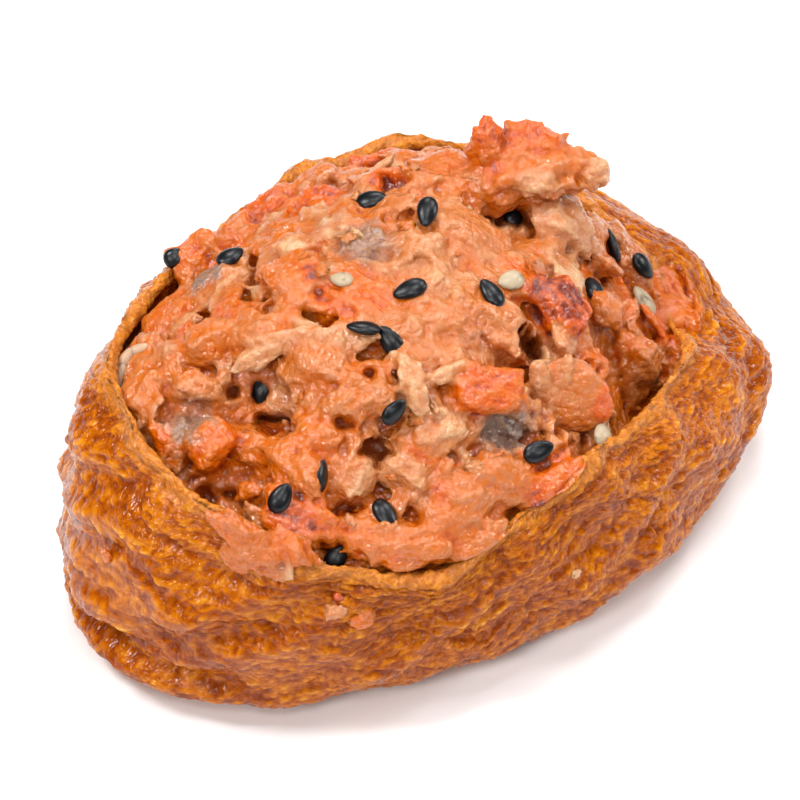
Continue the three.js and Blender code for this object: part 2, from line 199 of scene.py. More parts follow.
class Finish:
    def __init__(self, name):
        self.material = bpy.data.materials.new(name)
        self.material.use_nodes = True
        self.tree = self.material.node_tree
        self.tree.nodes.clear()

    def node(self, kind, settings=None, sockets=None, output=0):
        made = self.tree.nodes.new(kind)
        for key, value in (settings or {}).items():
            if key == "stops":
                self.setStops(made.color_ramp, value)
            else:
                setattr(made, key, value)
        for key, value in (sockets or {}).items():
            if isinstance(value, Wire):
                self.tree.links.new(value.socket, made.inputs[key])
            else:
                made.inputs[key].default_value = value
        return Wire(self, made.outputs[output])

    def setStops(self, ramp, stops):
        while len(ramp.elements) < len(stops):
            ramp.elements.new(0.5)
        for element, (place, shade) in zip(ramp.elements, stops):
            element.position = place
            element.color = shade

    def ramp(self, value, stops):
        return self.node("ShaderNodeValToRGB", {"stops": stops}, {0: value})

    def levels(self, value, low, high):
        return self.node("ShaderNodeMapRange", {"interpolation_type": "SMOOTHSTEP"},
                         {"Value": value, "From Min": low, "From Max": high})

    def mix(self, share, first, second):
        return self.node("ShaderNodeMix", {"data_type": "RGBA"},
                         {0: share, 6: first, 7: second}, output=2)

    def attribute(self, name, output="Fac"):
        return self.node("ShaderNodeAttribute", {"attribute_name": name}, output=output)

    def scaled(self, vector, factor):
        return self.node("ShaderNodeVectorMath", {"operation": "MULTIPLY"}, {0: vector, 1: factor})

    def millimetres(self):
        place = self.node("ShaderNodeTexCoord", output="Object")
        return self.scaled(place, (1000.0, 1000.0, 1000.0))

    def noise(self, vector, scale, detail=3.0, roughness=0.55, distortion=0.0):
        return self.node("ShaderNodeTexNoise", None, {
            "Vector": vector, "Scale": scale, "Detail": detail,
            "Roughness": roughness, "Distortion": distortion})

    def cells(self, vector, scale):
        return self.node("ShaderNodeTexVoronoi", None, {"Vector": vector, "Scale": scale})

    # Small rounded domes all over a surface, of a height in mm, more of them for a larger scale
    def beads(self, vector, scale, height):
        away = self.cells(vector, scale)
        return -height * away * away

    def warped(self, vector, scale, amount):
        drift = self.node("ShaderNodeTexNoise", None, {"Vector": vector, "Scale": scale}, output="Color")
        centred = self.node("ShaderNodeVectorMath", {"operation": "SUBTRACT"}, {0: drift, 1: (0.5,) * 3})
        moved = self.scaled(centred, (amount,) * 3)
        return self.node("ShaderNodeVectorMath", {"operation": "ADD"}, {0: vector, 1: moved})

    def bump(self, height):
        return self.node("ShaderNodeBump", None,
                         {"Height": height, "Strength": 1.0, "Distance": metresPerMm})

    # Light that soaks in, with its reach per channel in mm
    def soaking(self, weight, red, green, blue, reach):
        return {"Subsurface Weight": weight, "Subsurface Radius": (red, green, blue),
                "Subsurface Scale": reach * metresPerMm}

    def surface(self, sockets):
        shader = self.node("ShaderNodeBsdfPrincipled", None, sockets)
        target = self.tree.nodes.new("ShaderNodeOutputMaterial")
        self.tree.links.new(shader.socket, target.inputs["Surface"])
        return self.material


# Tofu skin: fine golden scales that run along the wall with amber between them, wet. Where the wall sinks
# in creases and lower folds the colour is darker and where scales and folds stand out it is lighter:
# painted shade and painted light that follow the relief
def tofuSkinMaterial():
    f = Finish("tofuSkin")
    place = f.attribute("skinPlace", "Vector")
    reliefShade = f.attribute("skinRelief")
    torn = f.attribute("tornEdge")
    drifted = f.warped(place, 0.45, 1.8)
    scales = f.noise(f.scaled(drifted, (0.5, 0.5, 1.5)), 1.1, 4.0, 0.6, 0.5)
    grain = f.noise(f.scaled(drifted, (1.0, 1.0, 2.0)), 2.4, 4.0, 0.65)
    pimples = f.cells(place, 1.5)
    fine = f.noise(place, 5.0, 2.0, 0.6)
    patches = f.noise(place, 0.14, 3.0, 0.6)
    # the relief term paints shade into creases and lower folds and light onto raised scales and folds
    level = 0.26 * reliefShade + 0.46 * scales + 0.26 * grain - 0.12 * pimples + 0.14 * patches
    base = f.ramp(f.levels(level, 0.3, 0.76), [
        (0.0, colour(124, 48, 1)),
        (0.25, colour(160, 76, 1)),
        (0.52, colour(188, 102, 2)),
        (0.78, colour(206, 126, 12)),
        (1.0, colour(230, 170, 64)),
    ])
    redder = f.mix(f.levels(patches, 0.5, 0.7), base, colour(152, 64, 8))
    base = f.mix(0.25, base, redder)
    edge = f.ramp(grain, [(0.3, colour(190, 96, 20)), (0.7, colour(232, 172, 84))])
    base = f.mix(torn * 0.4, base, edge)
    wet = f.beads(f.warped(place, 1.0, 0.4), 1.5, 0.15) + f.beads(f.warped(place, 2.0, 0.3), 2.8, 0.06)
    height = wet + 0.03 * scales
    return f.surface({
        "Base Color": base,
        "Roughness": 0.06 + 0.1 * fine,
        "IOR": 1.32,
        "Normal": f.bump(height),
        **f.soaking(0.12, 1.0, 0.4, 0.12, 1.0),
    })


# Salmon: tone runs from pale flakes through orange to red-brown, murk marks grey skin, and a painted
# shade value darkens folds and deep places towards red-brown
def salmonMaterial(name, pale):
    f = Finish(name)
    place = f.millimetres()
    tone = f.attribute("tone")
    murk = f.attribute("murk")
    hollow = f.attribute("hollow")
    mottle = f.noise(place, 0.5, 4.0, 0.62, 0.6)
    grain = f.noise(place, 1.5, 4.0, 0.6, 1.2)
    fibres = f.noise(f.attribute("grainPlace", "Vector"), 2.0, 3.0, 0.6, 0.4)
    wet = f.beads(f.warped(place, 1.0, 0.5), 1.5, 0.2) + f.beads(f.warped(place, 2.0, 0.3), 2.8, 0.08)
    fine = f.noise(place, 5.0, 2.0, 0.6, 0.4)
    level = tone + 0.56 * (mottle - 0.5) + 0.2 * (grain - 0.5)
    level = level + 0.24 * (fibres - 0.5) + 0.06 * (fine - 0.5) - pale
    base = f.ramp(level, [
        (0.0, colour(202, 156, 112)),
        (0.18, colour(196, 132, 86)),
        (0.42, colour(188, 106, 48)),
        (0.62, colour(198, 98, 12)),
        (0.8, colour(204, 84, 1)),
        (1.0, colour(120, 36, 12)),
    ])
    skin = f.ramp(grain, [
        (0.3, colour(62, 60, 64)),
        (0.5, colour(124, 116, 108)),
        (0.68, colour(150, 116, 70)),
    ])
    base = f.mix(murk, base, skin)
    # painted shade: folds and deep places of the heap darken towards red-brown
    base = f.mix(hollow * 0.8, base, colour(98, 32, 12))
    height = wet + 0.03 * grain + 0.05 * fibres
    return f.surface({
        "Base Color": base,
        "Roughness": 0.05 + 0.08 * f.levels(grain, 0.3, 0.7),
        "IOR": 1.6,
        "Normal": f.bump(height),
        **f.soaking(0.34, 1.0, 0.4, 0.2, 1.1),
    })


def seedMaterial(name, dark, light):
    f = Finish(name)
    place = f.millimetres()
    streak = f.noise(place, 0.9, 3.0, 0.5)
    pores = f.noise(place, 7.0, 2.0, 0.5)
    base = f.mix(f.levels(streak, 0.5, 0.72), dark, light)
    return f.surface({
        "Base Color": base,
        "Roughness": 0.24 + 0.14 * pores,
        "IOR": 1.4,
        "Normal": f.bump(0.05 * streak + 0.012 * pores),
    })


def riceMaterial():
    f = Finish("cookedRice")
    place = f.millimetres()
    cloud = f.noise(place, 0.8, 3.0, 0.5)
    fine = f.noise(place, 5.0, 2.0, 0.5)
    base = f.mix(cloud, colour(168, 128, 98), colour(198, 170, 142))
    return f.surface({
        "Base Color": base,
        "Roughness": 0.28 + 0.15 * fine,
        "Normal": f.bump(0.01 * fine),
        "IOR": 1.36,
        **f.soaking(0.4, 1.0, 0.8, 0.6, 1.5),
    })


tofuSkin = tofuSkinMaterial()
salmonMeat = salmonMaterial("salmonMeat", 0.0)
paleSalmon = salmonMaterial("paleSalmon", 0.02)
blackSeed = seedMaterial("blackSeed", colour(6, 8, 12), colour(30, 32, 36))
whiteSeed = seedMaterial("whiteSeed", colour(176, 158, 130), colour(112, 98, 78))
cookedRice = riceMaterial()
print("finishes made")


# Pouch: the same wall as the frame's, in fine steps
pouch = {
    "halfLength": 36.8,
    "halfWidth": 24.8,
    "squareness": 2.14,
    "baseShare": 0.74,
    "bellyHeight": 8.2,
    "rimHeight": 21.4,
    "rimShare": 0.91,
    "upperArc": 0.8,
    "wall": 2.0,
    "outlineSwells": [(-10, 25, 0.044), (50, 25, 0.047), (110, 25, -0.106), (170, 25, -0.021),
                      (230, 25, -0.023), (290, 25, 0.075), (332, 9, 0.03)],
    "rimRises": [(240, 20, -4.8), (-10, 30, -7.3), (170, 30, 4.6), (290, 20, 0.7)],
    "rimLeans": [(240, 20, 0.08), (-10, 30, -0.133), (170, 30, -0.1), (80, 40, 0.123), (290, 20, -0.016)],
    "rimWaves": [(9, 0.35, 1.0, 0.0), (14, 0.3, 2.0, 0.0)],
    "skinWaves": [(7, 0.34, 0.0, 0.55), (11, 0.34, 1.3, -0.8),
                  (16, 0.34, 4.1, 0.35), (19, 0.27, 2.2, -1.1)],
    "foldAngle": 184,
    "foldSpread": 17,
    "foldLobe": (2.2, 1.9, 2.6),
    "foldCrease": (6.4, 1.5, -2.2),
    "foldLine": {"at": 186, "spread": 15, "height": 6.2, "slope": -0.05, "width": 0.7, "depth": 1.5},
    "around": 576,
    "rings": {"base": 6, "lower": 38, "upper": 44, "rim": 8, "inner": 24},
    "starts": {"lower": 20.0, "upper": 32.5, "rim": 47.0, "inner": 50.0, "end": 95.0},  # mm of run
    "tornRun": (46.0, 53.0),  # where along the run the skin is torn
    "beltMean": 30.0,  # radius of the round belt that skin patterns are laid on
    "scaleDepth": 0.26,
    "foldDepth": 0.24,
    "creaseDepth": 0.5,
    "trims": [(157, 9, 13.5, 4.5, -1.3), (181, 12, 3.2, 2.4, 1.1)],  # angle, spread, height, spread, out
}


# Degrees from a place on the belt, the shorter way round
def turnBetween(angle, at):
    return (math.degrees(angle) - at + 180) % 360 - 180


def aroundSum(places, angle):
    total = 0.0
    for at, spread, by in places:
        total += by * bell(turnBetween(angle, at), spread)
    return total


def waveSum(waves, angle, height):
    total = 0.0
    for count, depth, start, slope in waves:
        total += depth * math.sin(count * angle + slope * height + start)
    return total


def beltRadius(angle):
    power = pouch["squareness"]
    across = abs(math.cos(angle) / pouch["halfLength"]) ** power
    along = abs(math.sin(angle) / pouch["halfWidth"]) ** power
    return (across + along) ** (-1 / power) * (1 + aroundSum(pouch["outlineSwells"], angle))


# Belt radius, rim height and mouth share every quarter of a degree
@lru_cache(maxsize=None)
def outlineQuarter(quarter):
    angle = math.radians(quarter / 4)
    top = pouch["rimHeight"] + aroundSum(pouch["rimRises"], angle) + waveSum(pouch["rimWaves"], angle, 0)
    return beltRadius(angle), top, pouch["rimShare"] + aroundSum(pouch["rimLeans"], angle)


def quarterOf(angle):
    return round(math.degrees(angle) * 4) % 1440


def rimTop(angle):
    return outlineQuarter(quarterOf(angle))[1]


def skinRelief(angle, height):
    degrees = math.degrees(angle) % 360
    folded = bell(degrees - pouch["foldAngle"], pouch["foldSpread"])
    fold = 0.0
    for at, spread, out in (pouch["foldLobe"], pouch["foldCrease"]):
        fold += out * bell(height - at, spread)
    return waveSum(pouch["skinWaves"], angle, height) + folded * fold


def wallPoint(angle, rise, depth):
    belt, top, mouth = outlineQuarter(quarterOf(angle))
    lower = clamp(rise - 1, 0, 1) * math.pi / 2
    arc = pouch["upperArc"] * math.pi / 2
    upper = clamp(rise - 2, 0, 1) * arc
    radius = belt * pouch["baseShare"] * min(rise, 1)
    height = 0.0
    if rise > 1:
        radius = belt * (pouch["baseShare"] + (1 - pouch["baseShare"]) * math.sin(lower))
        height = pouch["bellyHeight"] * (1 - math.cos(lower))
    if rise > 2:
        inward = (1 - math.cos(upper)) / (1 - math.cos(arc))
        radius = belt * (1 - (1 - mouth) * inward)
        height = pouch["bellyHeight"] + (top - pouch["bellyHeight"]) * math.sin(upper) / math.sin(arc)
    radius *= 1 - depth / belt
    height = depth + height * (top - depth) / top
    return radius, height


def pouchStops():
    rings = pouch["rings"]
    lower, upper, rim, inner, end = pouch["starts"].values()
    stops = []  # rise, how far round the rim, run along the skin in mm
    for i in range(rings["base"] + 1):
        share = i / rings["base"]
        stops.append((share, 0.0, lower * share))
    for i in range(1, rings["lower"] + 1):
        share = i / rings["lower"]
        stops.append((1 + share, 0.0, lower + (upper - lower) * share))
    for i in range(1, rings["upper"] + 1):
        share = i / rings["upper"]
        stops.append((2 + share, 0.0, upper + (rim - upper) * share))
    for i in range(1, rings["rim"]):
        share = i / rings["rim"]
        stops.append((3.0, share, rim + (inner - rim) * share))
    for i in range(rings["inner"] + 1):
        share = i / rings["inner"]
        stops.append((3 - 3 * share ** 1.5, 1.0, inner + (end - inner) * share))
    return stops


# Scales and creases of the fried skin, laid on a round belt so that they close on themselves
pattern = {
    "drift": 1.8,
    "lift": 2.6,
    "scaleLong": 1.5,
    "scaleTall": 0.8,
    "foldLong": 0.45,  # folds per mm round the belt
    "creaseLong": 0.07,
    "creaseTall": 0.26,
    "creaseSharp": 6,
}


def skinPattern(place):
    drift = Vector((noise.noise(place * 0.3), noise.noise(place * 0.3 + Vector((9, 4, 2))), 0.0))
    lift = noise.noise(place * 0.12 + Vector((3, 8, 5)))
    x, y, z = place + pattern["drift"] * drift + Vector((0, 0, pattern["lift"] * lift))
    long, tall = pattern["scaleLong"], pattern["scaleTall"]
    distances, _ = noise.voronoi(Vector((x / long, y / long, z / tall)))
    scale = smooth((distances[1] - distances[0]) * 2.0)
    long = pattern["foldLong"]
    folds = noise.fractal(Vector((x * long, y * long, z)), 0.9, 2.0, 4)
    long, tall = pattern["creaseLong"], pattern["creaseTall"]
    line = noise.noise(Vector((x * long, y * long, z * tall)) + Vector((1, 7, 3)))
    crease = (1 - min(abs(line) * 2.4, 1)) ** pattern["creaseSharp"]
    return scale, folds, crease


def makePouch():
    stops = pouchStops()
    bm = bmesh.new()
    spinLine(bm, len(stops), pouch["around"])
    placeLayer = bm.verts.layers.float_vector.new("skinPlace")
    reliefShadeLayer = bm.verts.layers.float.new("skinRelief")
    tornLayer = bm.verts.layers.float.new("tornEdge")
    tornFrom, tornTo = pouch["tornRun"]
    line = pouch["foldLine"]
    for vert in bm.verts:
        angle = math.atan2(vert.co.y, vert.co.x)
        rise, rounded, run = stops[round(vert.co.z)]
        depth = pouch["wall"] / 2 * (1 - math.cos(math.pi * rounded))
        radius, height = wallPoint(angle, rise, depth)
        height += pouch["wall"] / 2 * math.sin(math.pi * rounded)
        outside = clamp(rise - 1, 0, 1) * (1 - rounded)
        place = around(angle, pouch["beltMean"], run)
        scale, folds, crease = skinPattern(place)
        rough = clamp((run - tornFrom) / 1.5, 0, 1) * clamp((tornTo - run) / 2, 0, 1)
        ragged = rough * noise.fractal(place * 0.9, 0.8, 2.0, 4)
        wrinkle = pouch["scaleDepth"] * (scale - 0.8) + pouch["foldDepth"] * folds
        wrinkle -= pouch["creaseDepth"] * crease
        wrinkle *= clamp(rise - 0.9, 0, 1) if rounded == 0 else 0.6
        turned = turnBetween(angle, line["at"])
        away = height - line["height"] - line["slope"] * turned
        pinch = bell(turned, line["spread"]) * bell(away, line["width"])
        radius -= outside * line["depth"] * pinch
        for at, spread, level, tall, out in pouch["trims"]:
            off = turnBetween(angle, at)
            radius += outside * out * bell(off, spread) * bell(height - level, tall)
        radius += outside * skinRelief(angle, height) + wrinkle * (1 if rounded < 0.5 else -1)
        height += 0.35 * ragged
        if rise == 0:
            radius = 0.0
        vert.co = around(angle, radius, max(height, 0.0))
        vert[placeLayer] = place
        # painted shade and light: high where scales and folds stand out, low in creases
        vert[reliefShadeLayer] = clamp(0.5 + 0.5 * (scale - 0.5) + 0.34 * folds - 0.4 * crease, 0, 1)
        vert[tornLayer] = rough
    closeUp(bm)
    tree = bvhtree.BVHTree.FromBMesh(bm)
    addPiece("tofu_skin", bm, tofuSkin, "tofu_skin", "tofu_pouch")
    return tree


pouchTree = makePouch()
print("pouch made")


# Salmon heap: a low core under chunks and flakes, fused by a fine remesh
heap = {
    "floor": 11.0,
    "domeHeight": 32.0,
    "edgeLevel": 1.2,
    "edgeDrops": [(318, 16, 3.6), (80, 35, 0.4), (146, 9, 3.4), (194, 12, 2.4), (236, 18, -2.6)],
    "shape": [  # x, y, reach, by
        (-18.6, -4.2, 3.0, -3.0), (13.6, 0.2, 2.6, -4.2), (5.8, -12.8, 2.2, -2.6),
        (-12.4, -13.9, 2.2, -2.6), (-16.8, -14.7, 1.8, -1.6), (-25.4, -7.2, 2.6, -2.4),
        (19.2, -15.2, 4.0, -4.2), (6.5, 6.5, 6.0, 1.6), (-8.0, 3.0, 5.0, 0.9), (19.0, 3.6, 4.4, 3.8),
    ],
    "coreSink": 2.0,
    "coreAround": 160,
    "coreRings": 44,
    "voxel": 0.312,
    "fillers": 460,
    "fillerLong": (2.2, 5.6),
}

# Chunks that stand out in the photo: pixel, size, slope of the long side, lift, tone, squareness
photoChunks = [
    ((184, 266), (5.4, 5.0, 5.0), 70, 2.3, 0.72, 4),
    ((222, 240), (6.0, 4.4, 4.2), 30, 1.2, 0.6, 2.4),
    ((262, 215), (9.0, 5.0, 4.4), 18, 0.8, 0.76, 2.4),
    ((150, 372), (6.6, 4.6, 4.4), 80, 1.0, 0.5, 2.2),
    ((322, 196), (6.4, 4.0, 3.4), 14, 0.3, 0.6, 2.2),
    ((386, 174), (4.4, 3.0, 2.6), -10, 0.0, 0.9, 2.2),
    ((405, 195), (8.6, 5.0, 4.2), 10, 0.3, 0.52, 2.2),
    ((455, 190), (8.8, 6.0, 4.6), -48, 0.8, 0.6, 2.2),
    ((466, 252), (12.5, 6.4, 4.6), -12, 0.4, 0.4, 2.4),
    ((418, 262), (5.6, 4.2, 3.0), -30, 0.6, 0.3, 2.2),
    ((350, 245), (8.8, 3.6, 3.0), 12, 0.2, 0.5, 2.2),
    ((298, 292), (5.4, 5.0, 4.0), 48, 1.0, 0.64, 4),
    ((355, 302), (8.8, 7.2, 4.4), -36, 0.3, 0.72, 2.6),
    ((420, 325), (8.6, 6.6, 4.4), -25, 0.2, 0.46, 2.2),
    ((485, 322), (9.6, 5.4, 4.4), -30, 0.4, 0.42, 2.4),
    ((550, 314), (5.6, 4.4, 3.6), -52, 1.0, 0.98, 3),
    ((520, 268), (7.2, 4.6, 3.6), -20, 0.4, 0.5, 2.2),
    ((592, 316), (3.8, 3.2, 2.6), 0, 0.8, 0.56, 2.2),
    ((650, 318), (11.4, 8.0, 6.2), -72, 1.0, 0.64, 2.4),
    ((676, 322), (8.0, 4.4, 4.2), -78, 1.0, 0.7, 2.4),
    ((625, 362), (6.8, 4.8, 4.4), -20, 0.8, 0.46, 2.2),
    ((668, 372), (5.6, 4.6, 4.4), -60, 0.8, 0.62, 2.2),
    ((640, 398), (5.4, 4.2, 3.8), -30, 0.0, 0.68, 2.2),
    ((610, 255), (8.2, 4.4, 3.8), -34, 0.4, 0.46, 2.2),
    ((560, 228), (7.4, 5.0, 3.6), -20, 0.2, 0.26, 2.2),
    ((182, 334), (6.4, 4.6, 4.2), 60, 1.0, 0.66, 3.4),
    ((214, 352), (4.8, 3.8, 3.2), 30, 0.7, 0.6, 3),
    ((222, 300), (7.6, 3.8, 3.4), 28, 0.4, 0.46, 2.2),
    ((262, 342), (7.4, 3.6, 3.0), 10, 0.3, 0.5, 2.2),
    ((286, 347), (6.0, 1.7, 1.4), 8, 0.6, 0.3, 2.2),
    ((264, 361), (5.0, 2.0, 1.3), 24, 0.6, 0.2, 2.2),
    ((350, 478), (3.8, 1.7, 1.2), 60, 0.7, 0.22, 2.2),
    ((320, 372), (8.0, 5.0, 3.8), -20, 0.3, 0.5, 2.2),
    ((150, 400), (7.2, 4.6, 3.6), 84, 0.2, 0.48, 2.2),
    ((207, 446), (4.6, 4.2, 4.0), 40, 1.2, 0.82, 3.6),
    ((262, 450), (8.4, 4.4, 4.0), -14, 0.7, 0.6, 2.4),
    ((318, 440), (6.6, 4.8, 3.8), 30, 0.4, 0.62, 2.2),
    ((352, 405), (6.4, 4.2, 3.4), 40, 0.6, 0.52, 2.4),
    ((407, 394), (5.0, 2.4, 1.6), 102, 1.4, 0.26, 2.6),
    ((441, 384), (3.4, 1.7, 1.1), 32, 1.1, 0.24, 2.2),
    ((482, 395), (6.4, 4.4, 3.8), 4, 1.1, 0.78, 4.5),
    ((432, 432), (6.4, 4.0, 3.0), 8, 0.2, 0.36, 2.2),
    ((546, 481), (6.2, 3.1, 2.8), 24, 0.7, 0.82, 3),
    ((500, 478), (6.8, 4.6, 3.4), -10, 0.3, 0.5, 2.2),
    ((456, 500), (7.6, 4.6, 3.6), 20, 0.3, 0.56, 2.2),
    ((405, 470), (6.6, 3.8, 3.2), -40, 0.4, 0.3, 2.2),
    ((350, 470), (6.4, 4.0, 3.4), 60, 0.4, 0.46, 2.2),
    ((298, 470), (7.0, 4.4, 3.8), -50, 0.6, 0.6, 2.2),
    ((300, 520), (7.2, 4.8, 3.8), -24, 0.5, 0.72, 2.2),
    ((352, 532), (7.4, 4.6, 3.6), -8, 0.4, 0.66, 2.2),
    ((412, 545), (8.0, 4.4, 3.6), 4, 0.4, 0.6, 2.2),
    ((470, 535), (6.6, 3.8, 3.2), 20, 0.2, 0.52, 2.2),
]

# Dark hollows of the photo: pixel, half width, half height and depth in mm, slope in degrees
photoHollows = [
    ((232, 392), 0.7, 0.6, 2.0, 0),
    ((258, 392), 0.6, 1.0, 2.4, 0),
    ((272, 423), 1.4, 0.9, 3.0, -10),
    ((511, 214), 1.4, 1.0, 3.0, -20),
    ((532, 345), 0.6, 1.6, 3.4, 20),
    ((377, 452), 1.0, 1.0, 3.0, 0),
    ((345, 424), 0.8, 0.6, 1.8, -30),
    ((345, 509), 1.1, 0.5, 2.2, 10),
    ((207, 494), 1.4, 0.8, 1.8, -45),
    ((231, 494), 0.6, 0.5, 1.6, 0),
    ((655, 404), 1.3, 0.8, 1.6, 40),
    ((390, 180), 1.6, 0.6, 2.0, 10),
    ((369, 374), 0.5, 0.5, 1.6, 60),
    ((332, 548), 1.0, 0.5, 1.4, 0),
    ((606, 275), 0.7, 0.6, 1.4, 0),
    ((572, 398), 2.8, 3.0, 2.0, 0),
]


@lru_cache(maxsize=None)
def heapQuarter(quarter):
    angle = math.radians(quarter / 4)
    edge = rimTop(angle) - heap["edgeLevel"] - aroundSum(heap["edgeDrops"], angle)
    return wallPoint(angle, 3, pouch["wall"])[0], edge


def heapEdge(angle):
    return heapQuarter(quarterOf(angle))[0]


def heapTop(x, y):
    rim, edge = heapQuarter(quarterOf(math.atan2(y, x)))
    share = min(math.hypot(x, y) / rim, 1)
    height = edge + (heap["domeHeight"] - edge) * (1 - share ** 2.2) ** 0.8
    for atX, atY, reach, by in heap["shape"]:
        height += by * bell(math.hypot(x - atX, y - atY), reach)
    return height


def heapNormal(x, y):
    step = 0.8
    slopeX = (heapTop(x + step, y) - heapTop(x - step, y)) / (2 * step)
    slopeY = (heapTop(x, y + step) - heapTop(x, y - step)) / (2 * step)
    return Vector((-slopeX, -slopeY, 1.0)).normalized()


# Axes with z along the normal, x turned about it, then rocked at random
def chunkAxes(normal, turn, rock):
    level = normal.to_track_quat("Z", "Y").to_matrix()
    rocked = turned3(random.uniform(-rock, rock), "X")
    pitched = turned3(random.uniform(-rock, rock), "Y")
    return level @ turned3(turn, "Z") @ rocked @ pitched


# Chunks laid so far: their points, tones, and the frames their grain runs in
class Chunks:
    def __init__(self):
        self.points = []
        self.tones = []
        self.frames = []

    def note(self, verts, tone, centre, axes):
        self.points.extend((vert.co.copy(), len(self.tones)) for vert in verts)
        self.tones.append(tone)
        self.frames.append((centre, axes.transposed()))


# One chunk: a ball squared off, bent and pulled into a slab with ragged edges and grooves
def addChunk(bm, centre, axes, size, ragged, grooves, power=2.0, bend=0.0, fineness=3):
    made = bmesh.ops.create_icosphere(bm, subdivisions=fineness, radius=1.0)
    offset = Vector((random.uniform(0, 50), random.uniform(0, 50), random.uniform(0, 50)))
    half = Vector(size) / 2
    for vert in made["verts"]:
        d = vert.co.copy()
        square = (abs(d.x) ** power + abs(d.y) ** power + abs(d.z) ** power) ** (-1 / power)
        body = 1 + ragged * noise.noise(d * 1.5 + offset)
        frayed = noise.noise(d * 4.2 + offset) + 0.5 * noise.noise(d * 9.0 + offset)
        edge = (1 - abs(d.z)) * ragged * 1.2 * frayed
        groove = grooves * math.sin(d.y * half.y * 6.2 + 2.5 * noise.noise(d * 2 + offset))
        reach = square * (body + edge + groove / max(half.z, 0.5) * abs(d.z))
        local = Vector((d.x * half.x, d.y * half.y, d.z * half.z)) * reach
        local.z += bend * half.x * (d.x * d.x - 0.4)
        vert.co = centre + axes @ local
    return made["verts"]


def addCore(bm, sink):
    rings = heap["coreRings"]
    spinLine(bm, rings + 3, heap["coreAround"])
    for vert in bm.verts:
        angle = math.atan2(vert.co.y, vert.co.x)
        step = round(vert.co.z)
        rim = heapEdge(angle) - 0.4
        if step == 0:
            vert.co = Vector((0, 0, heap["floor"]))
        elif step == 1:
            low = wallPoint(angle, 2.2, pouch["wall"] + 0.4)[0]
            vert.co = around(angle, low, heap["floor"])
        else:
            left = (rings + 2 - step) / rings
            radius = rim * math.sin(left * math.pi / 2)
            x, y = radius * math.cos(angle), radius * math.sin(angle)
            vert.co = Vector((x, y, max(heapTop(x, y) - sink, heap["floor"] + 0.5)))
    closeUp(bm)


# A voxel remesh of everything in the bmesh, as a new bmesh
def fused(bm, voxel):
    mesh = meshOf("loose", bm)
    holder = placed("loose", mesh)
    remesh = holder.modifiers.new("fuse", "REMESH")
    remesh.mode = "VOXEL"
    remesh.voxel_size = voxel
    bpy.context.view_layer.update()
    whole = bpy.data.meshes.new_from_object(holder.evaluated_get(bpy.context.evaluated_depsgraph_get()))
    bpy.data.objects.remove(holder)
    result = bmesh.new()
    result.from_mesh(whole)
    bpy.data.meshes.remove(whole)
    bpy.data.meshes.remove(mesh)
    return result


# Spots of the photo that fix a colour: pixel, reach in mm, tone, murk
toneSpots = [
    ((482, 395), 2.6, 0.8, 0.0),
    ((548, 480), 2.6, 0.78, 0.0),
    ((298, 304), 1.8, 0.6, 0.0),
    ((311, 270), 1.0, 0.95, 0.0),
    ((340, 300), 2.4, 0.76, 0.0),
    ((207, 447), 2.2, 0.74, 0.0),
    ((178, 262), 2.4, 0.7, 0.0),
    ((180, 336), 2.4, 0.62, 0.0),
    ((188, 326), 1.0, 0.86, 0.0),
    ((662, 325), 2.2, 0.84, 0.0),
    ((680, 306), 2.2, 0.66, 0.0),
    ((630, 340), 2.4, 0.62, 0.0),
    ((550, 290), 2.4, 0.98, 0.1),
    ((292, 245), 1.2, 0.0, 0.0),
    ((506, 430), 2.7, 0.4, 0.85),
    ((207, 272), 2.4, 0.6, 0.85),
    ((365, 243), 2.8, 0.5, 0.7),
    ((192, 425), 2.6, 0.4, 0.7),
    ((285, 505), 1.8, 0.9, 0.2),
    ((300, 520), 1.8, 0.84, 0.1),
    ((262, 215), 2.2, 0.8, 0.0),
    ((385, 175), 2.0, 0.84, 0.0),
    ((480, 330), 1.6, 0.6, 0.3),
    ((440, 270), 3.0, 0.26, 0.0),
    ((420, 330), 3.0, 0.44, 0.0),
    ((290, 400), 2.6, 0.22, 0.0),
    ((455, 423), 1.6, 0.1, 0.0),
    ((150, 390), 3.0, 0.5, 0.0),
    ((590, 230), 3.0, 0.25, 0.1),
]


# The hidden underside becomes one flat face
def cutFloor(bm, level):
    bmesh.ops.bisect_plane(bm, geom=bm.verts[:] + bm.edges[:] + bm.faces[:], plane_co=(0, 0, level),
                           plane_no=(0, 0, 1), clear_inner=True)
    rimEdges = [edge for edge in bm.edges if edge.is_boundary]
    bmesh.ops.edgeloop_fill(bm, edges=rimEdges)
    bmesh.ops.recalc_face_normals(bm, faces=bm.faces)


def digHollows(bm, tree):
    hollows = [(castNear(pixel, tree)[0], *rest) for pixel, *rest in photoHollows]
    for vert in bm.verts:
        push = 0.0
        for middle, wide, high, depth, slope in hollows:
            away = vert.co - middle
            if away.length > 3 * max(wide, high) + depth:
                continue
            seen = Vector((away.dot(rightward), away.dot(upward)))
            turned = Matrix.Rotation(math.radians(-slope), 2) @ seen
            spread = math.hypot(turned.x / wide, turned.y / high) + 0.8 * noise.noise(vert.co * 1.0)
            push = max(push, depth * smooth(1.55 - spread))
        if push > 0:
            vert.co -= push * (0.5 * heapNormal(vert.co.x, vert.co.y) + 0.5 * backward)


def smoothOnce(bm):
    bmesh.ops.smooth_vert(bm, verts=bm.verts, factor=0.5,
                          use_axis_x=True, use_axis_y=True, use_axis_z=True)


# How far each vertex lies inside the smoothed surface, in mm, positive in folds
def foldDepths(bm, rounds):
    before = [vert.co.copy() for vert in bm.verts]
    for _ in range(rounds):
        smoothOnce(bm)
    after = [vert.co.copy() for vert in bm.verts]
    for vert, place in zip(bm.verts, before):
        vert.co = place
    bm.normal_update()
    return [(late - early).dot(vert.normal) for vert, early, late in zip(bm.verts, before, after)]


